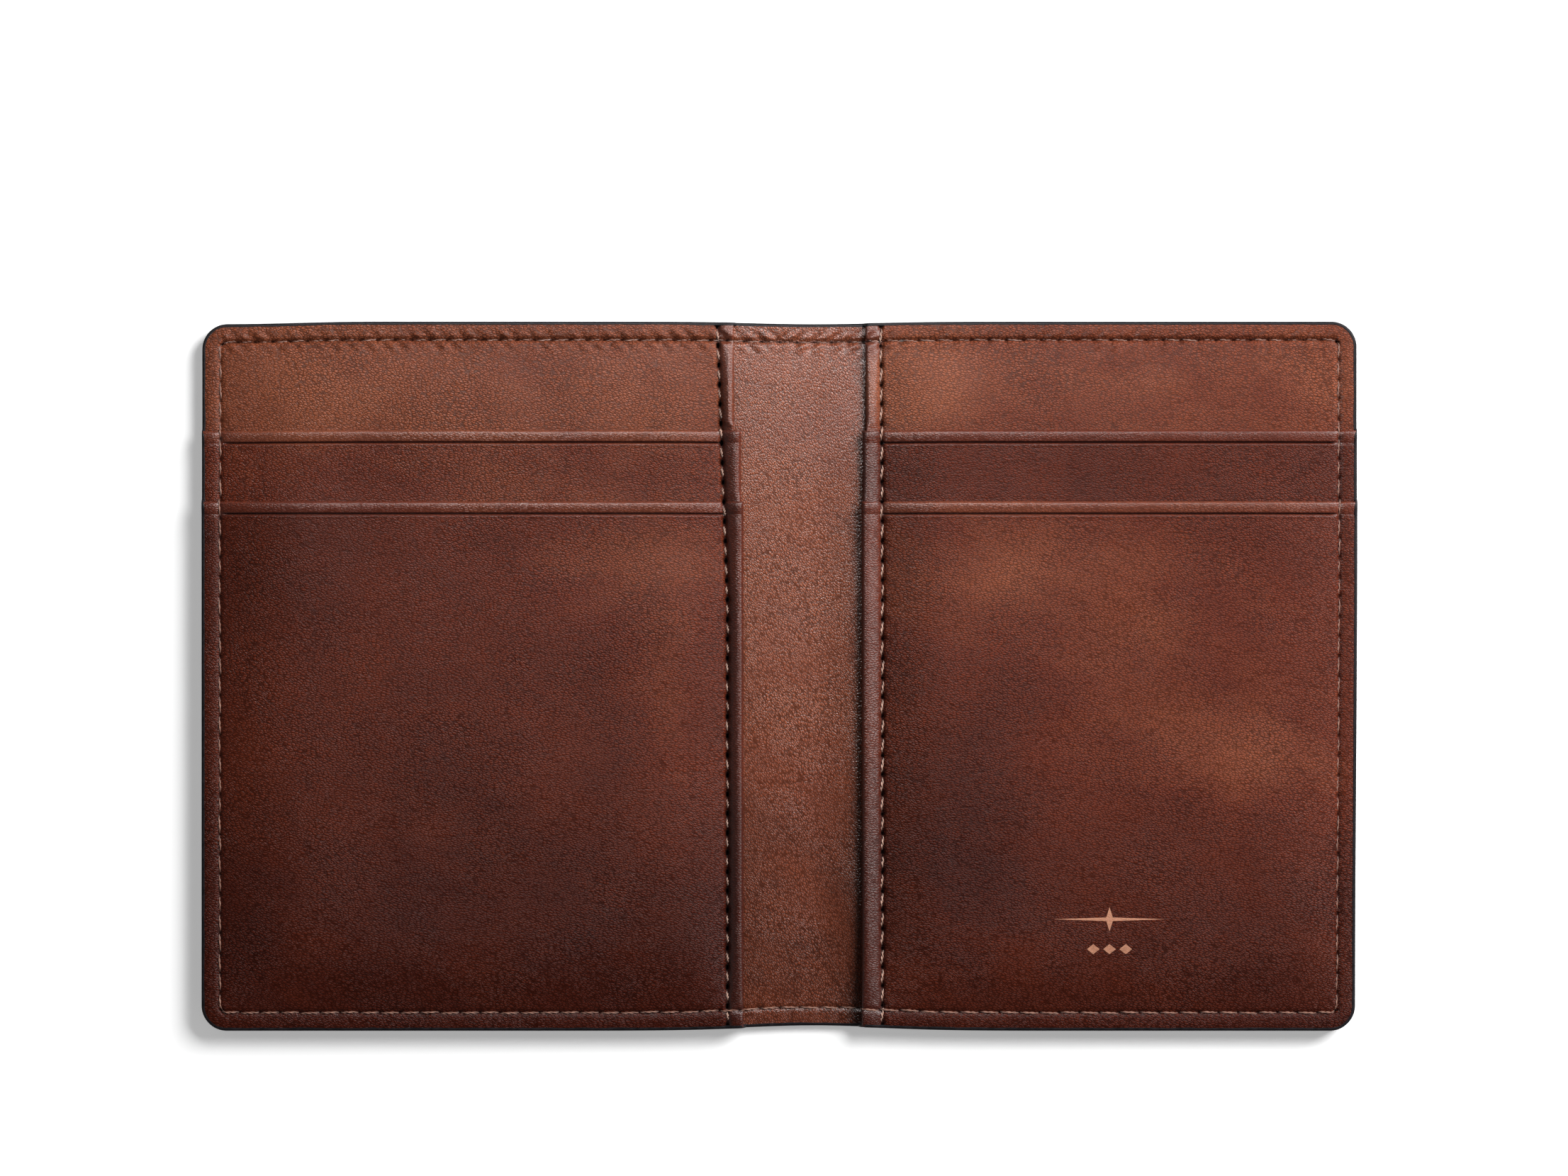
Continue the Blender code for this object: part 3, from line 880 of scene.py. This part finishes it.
def add_layer(layer, side):
    """One sheet of a half's stack, with a coarse mesh where the sheet above it hides it."""
    us_fine, ys_fine = seam_fine(side)
    us = lines(INNER[side][layer], HALF_W - CUT, GRID, us_fine, ("start",))
    bottom = CUT - HALF_H
    crease = (MOUTH[layer] - CREASE_DOWN, 0.4, 0.06) if MOUTH[layer] else None
    if layer == 0:
        visible = MOUTH[1] - 6
        hidden = lines(bottom, visible, 1.6)
        ys = np.concatenate([hidden[:-1], lines(visible, HALF_H - CUT, GRID, ys_fine)])
    elif layer == 1:
        visible = MOUTH[2] - 4
        hidden = lines(low("upper_pocket_left").y, visible, 1.2)
        ys = np.concatenate([hidden[:-1], lines(visible, MOUTH[1], GRID, [crease], ("end",))])
    else:
        ys = lines(bottom, MOUTH[2], GRID, [crease, *ys_fine], ("end",))
    top, under = layer_faces(layer, side)
    marks = {"hole": painted_hole_and_crease_shade(side, ALL_SEAMS, layer), "tone": dye_and_painted_light(layer, side)}
    marks["smooth"] = burnished(layer, side)
    name = f"{LAYERS[layer]}_{side}"
    piece = slab(f"{name}_leather", us, ys, side, top, under, "pocket_leather", POCKET_LEATHER, marks)
    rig.replaces(piece, name)
    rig.ride(piece, f"{side}_half")


def add_divider(side):
    """The cloth that keeps the cards of the two pockets apart."""
    node = f"pocket_divider_{side}"
    ends = sorted(abs(c) for c in (low(node).x, high(node).x))
    us, ys = lines(*ends, 1.5), lines(low(node).y, high(node).y, 1.5)

    def top(u, y):
        return layer_base(2, u, y, side) - SHEET - 0.32

    def bottom(u, y):
        return top(u, y) - 0.12

    piece = slab(f"{node}_cloth", us, ys, side, top, bottom, "lining_fabric", LINING_CLOTH)
    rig.replaces(piece, node)
    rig.ride(piece, f"{side}_half")


def gutter_tone_and_painted_shade(side):
    """Painted shade: darker low down, and a little darker towards the right stack, which shades it."""

    def tone(u, y):
        x = WAY[side] * u
        return 0.2 - 0.45 * smooth((14 - y) / 70) - 0.08 * smooth((x - 7) / 9)

    return tone


def add_gutter(side):
    us = lines(0, LINING_END[side], 0.3)
    _, ys_fine = seam_fine(side)
    ys = lines(CUT - HALF_H, HALF_H - CUT, 0.36, ys_fine)

    def top(u, y):
        return gutter_top(u, y, side)

    def bottom(u, y):
        return np.full(u.shape, COVER_TOP + 0.05)

    marks = {"hole": painted_hole_and_crease_shade(side, OUTER_SEAMS), "tone": gutter_tone_and_painted_shade(side)}
    name = f"gutter_leather_{side}"
    piece = slab(name, us, ys, side, top, bottom, "gutter_leather", GUTTER_LEATHER, marks)
    spine = ["gutter_lining_spine"] if side == "left" else []
    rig.replaces(piece, f"gutter_lining_{side}", *spine)
    fold_blend(piece, side)


def cover_under(u, y, side, stitched=True):
    """The outer cover's outside, rounded at its cut edge."""
    z = 0.16 * (1 - np.clip(inset(u, y) / 1.6, 0, 1)) ** 2 + 0.02
    if stitched:
        z = z - seam_relief(u, y, side, OUTER_SEAMS) * 0.6
    return z


def add_cover(side):
    us_fine, ys_fine = seam_fine(side)
    us = lines(0, HALF_W - CUT, 0.42, us_fine[1:])
    ys = lines(CUT - HALF_H, HALF_H - CUT, 0.42, ys_fine)

    def top(u, y):
        return np.full(u.shape, COVER_TOP)

    def bottom(u, y):
        return cover_under(u, y, side)

    marks = {"hole": painted_hole_and_crease_shade(side, OUTER_SEAMS), "tone": dye_and_painted_light(2, side)}
    name = f"cover_leather_{side}"
    piece = slab(name, us, ys, side, top, bottom, "cover_leather", COVER_LEATHER, marks)
    spine = ["cover_spine"] if side == "left" else []
    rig.replaces(piece, f"cover_{side}", *spine)
    fold_blend(piece, side)


def edge_height(u, y, side):
    """The face just inside the cut edge, with the steps between layers run together by the paint."""
    inner_u = np.minimum(u, HALF_W - PAINT_LAP)
    inner_y = np.clip(y, PAINT_LAP - HALF_H, HALF_H - PAINT_LAP)
    steps = []
    for du in (-0.3, 0.3):
        for dy in (-0.3, 0.3):
            steps.append(surface(np.clip(inner_u + du, 0, None), inner_y + dy, side))
    return (np.max(steps, 0) + sum(steps) / 4) / 2


# the bead's section: share of the lap, face it is measured from, and height above that face
BEAD = (
    (1.0, "top", 0.03),
    (0.6, "top", 0.06),
    (0.2, "top", -0.02),
    (0.0, "top", -0.22),
    (0.0, "table", 0.3),
    (0.2, "table", 0.08),
    (0.6, "table", 0.02),
    (1.0, "table", 0.06),
    (1.2, "table", 0.4),
    (1.2, "top", -0.4),
)


def add_edge_paint(side):
    """A bead of paint over the cut edge, lapping a little onto both faces.

    The bead runs from the spine along the top edge, down the side and back along the bottom
    edge. in_u and in_y are how far each of its sections lies from the half's upper outer corner.
    """
    across = np.arange(0, HALF_W, 0.5)
    down = np.arange(-HALF_H, HALF_H, 0.5)
    in_u = np.concatenate([HALF_W - across, np.zeros(len(down)), across, [HALF_W]])
    in_y = np.concatenate([np.zeros(len(across)), HALF_H + down, np.full(len(across) + 1, 2 * HALF_H)])
    on_top, on_bottom = in_y == 0, in_y == 2 * HALF_H
    u0, y0 = HALF_W - in_u, HALF_H - in_y
    face = edge_height(u0, y0, side) + 0.02 * waves(u0, y0, 3, 9, 3)
    lap = PAINT_LAP + 0.06 * waves(u0, y0, 4, 12, 4)
    columns = []
    for share, measured_from, height in BEAD:
        d = share * lap
        u = np.where(on_top | on_bottom, HALF_W - (d + in_u * (1 - d / HALF_W)), HALF_W - d)
        y = np.where(on_top, HALF_H - d, np.where(on_bottom, d - HALF_H, y0 * (1 - d / HALF_H)))
        x, yy = place(u, y, WAY[side])
        columns.append(np.stack([x, yy, face * (measured_from == "top") + height], -1))
    points = np.stack(columns, 1)
    index = np.arange(points[..., 0].size).reshape(points.shape[:2])
    beside = np.roll(index, -1, 1)
    quads = np.stack([index[:-1], beside[:-1], beside[1:], index[1:]], -1).reshape(-1, 4)
    quads = np.concatenate([quads, ring_cap(index[0]), ring_cap(index[-1])[:, ::-1]])
    if side == "right":
        quads = quads[:, ::-1]
    piece = new_object(f"edge_bead_{side}", points.reshape(-1, 3), quads, "edge_paint", EDGE_PAINT)
    spine = ["edge_paint_spine_top", "edge_paint_spine_bottom"] if side == "left" else []
    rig.replaces(piece, f"edge_paint_{side}", *spine)
    fold_blend(piece, side)


def strands(seam, side, under=False, gap=0.0, steps=18, plies=2, corners=6):
    """Every stitch of a seam as a two-ply tube that dips into its needle holes.

    Returns points and the painted shade of each where the thread dips into its holes, indexed by stitch, step, ply and
    corner.
    """
    i = np.arange(seam.count)[:, None, None, None]
    t = np.linspace(0, 1, steps)[None, :, None, None]
    ply = np.arange(plies)[None, None, :, None]
    turn = np.arange(corners)[None, None, None, :] * math.tau / corners
    rng = np.random.default_rng(int(seam.length * 10) + under)
    wobble = rng.uniform(-0.1, 0.1, (seam.count, 1, 1, 1))
    low_lying = rng.uniform(-0.08, 0.04, (seam.count, 1, 1, 1))

    margin = gap / seam.pitch / 2
    along = (i + margin + t * (1 - 2 * margin)) * seam.pitch
    slant = -seam.slant if under else seam.slant
    across = slant * (2 * t - 1) + wobble
    arch = np.sin(math.pi * t) ** 0.45
    twist = math.tau * 1.6 * t + i * 1.3 + ply * math.pi
    fat = THREAD_R * seam.size * (0.62 + 0.38 * arch)
    offset_a = fat * 0.5 * np.cos(twist) + fat * 0.62 * np.cos(turn)
    offset_z = fat * 0.5 * np.sin(twist) + fat * 0.62 * np.sin(turn)

    def on_seam(sideways):
        u = seam.start[0] + seam.ahead[0] * along + seam.ahead[1] * sideways
        return u, seam.start[1] + seam.ahead[1] * along - seam.ahead[0] * sideways

    u, y = on_seam(across + offset_a)
    centre_u, centre_y = (c + 0 * ply + 0 * turn for c in on_seam(across))
    if under:
        base = cover_under(centre_u, centre_y, side, False) + 0.6 * seam.groove
        z = np.maximum(base - (arch * 0.5 - 0.42) * 0.6 + offset_z, 0.0)
    else:
        beside = [surface(centre_u, centre_y + dy, side) for dy in (-0.35, 0, 0.35)]
        lift = arch * (0.62 - seam.sunk) - 0.5 + low_lying
        z = np.max(beside, 0) - seam.groove + lift + offset_z
    x, yy = place(np.clip(u, 0.0, None), y, WAY[side])
    points = np.stack([x, yy, z], -1)
    return points, np.broadcast_to(1 - arch ** 1.5, points.shape[:-1])


def tube_mesh(name, groups, slot, material):
    """One mesh of many tubes, from what strands() returns."""
    points, quads, painted_thread_shade, first = [], [], [], 0
    for group, marks in groups:
        index = first + np.arange(group[..., 0].size).reshape(group.shape[:4])
        beside = np.roll(index, -1, 3)
        faces = np.stack([index[:, :-1], beside[:, :-1], beside[:, 1:], index[:, 1:]], -1)
        quads += [faces.reshape(-1, 4), ring_cap(index[:, 0]), ring_cap(index[:, -1])[:, ::-1]]
        points.append(group.reshape(-1, 3))
        painted_thread_shade.append(marks.reshape(-1))
        first += group[..., 0].size
    attributes = {"painted_thread_shade": np.concatenate(painted_thread_shade)}
    return new_object(name, np.concatenate(points), np.concatenate(quads), slot, material, attributes)


def add_threads(side):
    seams = SEAMS[side]
    outer = [strands(seams[name], side) for name in OUTER_SEAMS]
    outer += [strands(seams[name], side, under=True) for name in OUTER_SEAMS]
    piece = tube_mesh(f"perimeter_stitches_{side}", outer, "thread", BROWN_THREAD)
    spine = ["spine_thread_top", "spine_thread_bottom"] if side == "left" else []
    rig.replaces(piece, f"perimeter_thread_{side}", *spine)
    fold_blend(piece, side)
    inner = [strands(seams[name], side, gap=INNER_GAP[side]) for name in ("inner_top", "inner_low")]
    piece = tube_mesh(f"inner_stitches_{side}", inner, "thread", PALE_THREAD)
    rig.replaces(piece, f"inner_thread_{side}")
    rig.ride(piece, f"{side}_half")


def inlay(name, outlines, node):
    """Thin foil pressed onto the lower right pocket. Each outline is seen whole from its centre."""
    points, quads, first = [], [], 0
    for outline in outlines:
        outline = np.array(outline)
        centre = outline.mean(0)
        along = np.linspace(0, 1, 6)[:-1, None]
        dense = np.concatenate([a + (b - a) * along for a, b in zip(outline, np.roll(outline, -1, 0))])
        share = np.linspace(0.02, 1, 6)[:, None, None]
        flat = centre + (dense - centre) * share
        z = surface(flat[..., 0], flat[..., 1], "right") + 0.012
        x, y = place(flat[..., 0], flat[..., 1], 1)
        upper = np.stack([x, y, z], -1)
        lower = upper - (0, 0, 0.05)
        index = first + np.arange(z.size).reshape(z.shape)
        beside = np.roll(index, -1, 1)
        face = np.stack([index[:-1], index[1:], beside[1:], beside[:-1]], -1).reshape(-1, 4)
        quads += [face, face[:, ::-1] + z.size]
        for ring, flip in ((index[-1], False), (index[0], True)):
            after = np.roll(ring, -1)
            wall = np.stack([ring, ring + z.size, after + z.size, after], -1)
            quads.append(wall[:, ::-1] if flip else wall)
        points += [upper.reshape(-1, 3), lower.reshape(-1, 3)]
        first += 2 * z.size
    piece = new_object(name, np.concatenate(points), np.concatenate(quads), "foil", FOIL)
    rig.replaces(piece, node)
    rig.ride(piece, "right_half")


def polar(centre, radii):
    """An outline through points at the given x and y reaches, evenly spaced in angle."""
    count = len(radii)
    angles = [math.tau * i / count for i in range(count)]
    return [(centre[0] + r[0] * math.cos(a), centre[1] + r[1] * math.sin(a)) for r, a in zip(radii, angles)]


def add_foil():
    """A four-pointed star over three lozenges."""
    centre = ((STAR[0] + STAR[1]) / 2)[:2]
    reach = ((STAR[1] - STAR[0]) / 2)[:2]
    star = polar(centre, [reach if i % 2 == 0 else (0.9, 0.5) for i in range(8)])
    inlay("foil_star_mark", [star], "foil_star")
    centre = ((LOZENGES[0] + LOZENGES[1]) / 2)[:2]
    reach = ((LOZENGES[1] - LOZENGES[0]) / 2)[:2]
    diamonds = []
    for i in (-1, 0, 1):
        middle = (centre[0] + i * (reach[0] - 1.5), centre[1])
        diamonds.append(polar(middle, [(1.25, reach[1])] * 4))
    inlay("foil_lozenge_marks", diamonds, "foil_lozenges")


for side in SIDES:
    add_cover(side)
    add_gutter(side)
    for layer in range(len(LAYERS)):
        add_layer(layer, side)
    add_divider(side)
    add_edge_paint(side)
    add_threads(side)
    for node, material in (("slip_pocket_lining", LINING_CLOTH), ("stiffener", BOARD)):
        materials = frame["nodes"][f"{node}_{side}"].data.materials
        materials.clear()
        materials.append(material)
add_foil()


# ---------------------------------------------------------------- floor, light and camera
def add_floor():
    bpy.ops.mesh.primitive_plane_add(size=6, location=(0, 0, -0.0004))
    floor = bpy.context.object
    floor.name = "floor"
    n = Nodes("lit_table")
    white = (0.92, 0.92, 0.92, 1)
    glow = dict(Emission_Color=white, Emission_Strength=0.34)
    floor.data.materials.append(n.finish(Base_Color=white, Roughness=0.9, Specular_IOR_Level=0.0, **glow))
    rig.stage(floor)


def add_light(name, place_m, aim, size, power, sheen_only=False):
    data = bpy.data.lights.new(name, "AREA")
    data.shape = "RECTANGLE"
    data.size, data.size_y = size
    data.energy = power
    light = bpy.data.objects.new(name, data)
    bpy.context.scene.collection.objects.link(light)
    light.location = place_m
    light.visible_camera = False
    light.visible_diffuse = not sheen_only
    light.rotation_euler = (Vector(aim) - Vector(place_m)).to_track_quat("-Z", "Y").to_euler()


def add_camera():
    """Straight above the wallet, which lies a little low in the frame and fills most of its width."""
    data = bpy.data.cameras.new("camera")
    camera = bpy.data.objects.new("camera", data)
    bpy.context.scene.collection.objects.link(camera)
    height = 1.0
    widths_seen = 1.361  # the frame's width, in widths of the wallet
    data.sensor_width = 36.0
    data.lens = data.sensor_width * height / (widths_seen * 2 * HALF_W * MM)
    data.shift_x, data.shift_y = 0.0029, 0.0561
    camera.location = (0, 0, height)
    bpy.context.scene.camera = camera


def add_world():
    """A dim sky, brighter towards the horizon."""
    world = bpy.data.worlds.new("studio")
    world.use_nodes = True
    tree = world.node_tree
    height = tree.nodes.new("ShaderNodeSeparateXYZ")
    tree.links.new(tree.nodes.new("ShaderNodeTexCoord").outputs["Generated"], height.inputs[0])
    ramp = tree.nodes.new("ShaderNodeMapRange")
    ramp.interpolation_type = "SMOOTHSTEP"
    for key, value in {"From Min": 0.8, "From Max": 0.35, "To Min": 0.02, "To Max": 0.45}.items():
        ramp.inputs[key].default_value = value
    tree.links.new(height.outputs["Z"], ramp.inputs["Value"])
    tree.nodes["Background"].inputs["Color"].default_value = (1, 1, 1, 1)
    tree.links.new(ramp.outputs[0], tree.nodes["Background"].inputs["Strength"])
    bpy.context.scene.world = world


add_floor()
add_light("key", (0.62, 0.50, 0.50), (0, 0, 0), (0.6, 0.6), 20.5)
add_light("top_strip", (-0.015, 0.145, 0.24), (-0.015, 0.02, 0), (0.2, 0.06), 1.3, sheen_only=True)
add_light("side_strip", (0.40, 0.06, 0.60), (0, 0, 0), (0.14, 0.34), 0.8, sheen_only=True)
add_camera()
add_world()
bpy.context.scene.view_settings.view_transform = "Standard"

sizes = {"cad": [list(corner) for corner in cad_box], "visual": [list(corner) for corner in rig.bounds()]}
with open("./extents.json", "w") as out:
    json.dump(sizes, out)
